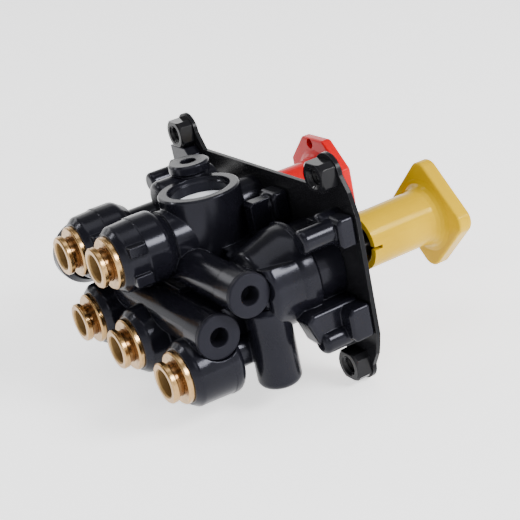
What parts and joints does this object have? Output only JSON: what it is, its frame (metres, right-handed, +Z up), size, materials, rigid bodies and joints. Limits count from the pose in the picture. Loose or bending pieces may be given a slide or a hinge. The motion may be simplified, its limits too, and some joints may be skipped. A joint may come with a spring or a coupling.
{
  "type": "dash control valve",
  "caption": "Push-pull dash air brake valve: diamond and octagonal knobs, steel mounting plate, black ported body and brass push-in tube fittings.",
  "frame": {"origin": "centre of the four panel screw holes, on the front face of the mounting plate", "axes": "-Y towards the driver (knobs), +Y towards the tube ports, +Z up, +X to the driver's right"},
  "size_m": [0.1228, 0.1192, 0.082],
  "materials": {
    "body_plastic": "fine moulded texture, slightly satin",
    "cap_plastic": "satin moulded",
    "plate_steel": "glossy black coating",
    "nut_steel": "glossy black coating",
    "screw_steel": "black zinc",
    "diaphragm_rubber": "pale grey, matt",
    "brass": "turned, lightly polished",
    "seal_rubber": "matt",
    "shuttle_plastic": "matt",
    "bush_plastic": "matt",
    "plunger_metal": "turned",
    "spring_steel": "drawn wire",
    "knob_yellow": "glossy moulded",
    "knob_red": "glossy moulded"
  },
  "bodies": {
    "root": {"valve_body": "body_plastic", "mounting_plate": "plate_steel", "panel_nuts": "nut_steel", "plate_screws": "screw_steel", "exhaust_diaphragm": "diaphragm_rubber", "cartridge_upper_right": "brass", "cartridge_upper_centre": "brass", "cartridge_lower_right": "brass", "cartridge_lower_centre": "brass", "cartridge_lower_left": "brass", "tube_seal_upper_right": "seal_rubber", "tube_seal_upper_centre": "seal_rubber", "tube_seal_lower_right": "seal_rubber", "tube_seal_lower_centre": "seal_rubber", "tube_seal_lower_left": "seal_rubber", "tube_support_upper_right": "brass", "tube_support_upper_centre": "brass", "tube_support_lower_right": "brass", "tube_support_lower_centre": "brass", "tube_support_lower_left": "brass", "check_bore_cap": "cap_plastic", "pilot_bore_cap": "cap_plastic", "guide_bush_park": "bush_plastic", "stem_seal_park": "seal_rubber", "return_spring_park": "spring_steel", "guide_bush_trailer": "bush_plastic", "stem_seal_trailer": "seal_rubber", "return_spring_trailer": "spring_steel"},
    "park_knob_unit": {"knob_park": "knob_yellow", "plunger_park": "plunger_metal", "piston_seal_park": "seal_rubber"},
    "trailer_knob_unit": {"knob_trailer": "knob_red", "plunger_trailer": "plunger_metal", "piston_seal_trailer": "seal_rubber"},
    "release_collet_upper_right": {"collet_upper_right": "brass"},
    "release_collet_upper_centre": {"collet_upper_centre": "brass"},
    "release_collet_lower_right": {"collet_lower_right": "brass"},
    "release_collet_lower_centre": {"collet_lower_centre": "brass"},
    "release_collet_lower_left": {"collet_lower_left": "brass"},
    "shuttle": {"check_shuttle": "shuttle_plastic"}
  },
  "joints": [
    {"name": "park_knob_push", "type": "slide", "parent": "root", "child": "park_knob_unit", "axis": [0, 1, 0], "range_m": [0, 0.009], "stiffness_N_per_m": 1500, "springref_m": -0.01, "deforming": ["return_spring_park"]},
    {"name": "trailer_knob_push", "type": "slide", "parent": "root", "child": "trailer_knob_unit", "axis": [0, 1, 0], "range_m": [0, 0.009], "stiffness_N_per_m": 1500, "springref_m": -0.01, "deforming": ["return_spring_trailer"]},
    {"name": "collet_push_upper_right", "type": "slide", "parent": "root", "child": "release_collet_upper_right", "axis": [0, -1, 0], "range_m": [0, 0.0016]},
    {"name": "collet_push_upper_centre", "type": "slide", "parent": "root", "child": "release_collet_upper_centre", "axis": [0, -1, 0], "range_m": [0, 0.0016]},
    {"name": "collet_push_lower_right", "type": "slide", "parent": "root", "child": "release_collet_lower_right", "axis": [0, -1, 0], "range_m": [0, 0.0016]},
    {"name": "collet_push_lower_centre", "type": "slide", "parent": "root", "child": "release_collet_lower_centre", "axis": [0, -1, 0], "range_m": [0, 0.0016]},
    {"name": "collet_push_lower_left", "type": "slide", "parent": "root", "child": "release_collet_lower_left", "axis": [0, -1, 0], "range_m": [0, 0.0016]},
    {"name": "shuttle_slide", "type": "slide", "parent": "root", "child": "shuttle", "axis": [1, 0, 0], "range_m": [-0.0105, 0.003]}
  ]
}
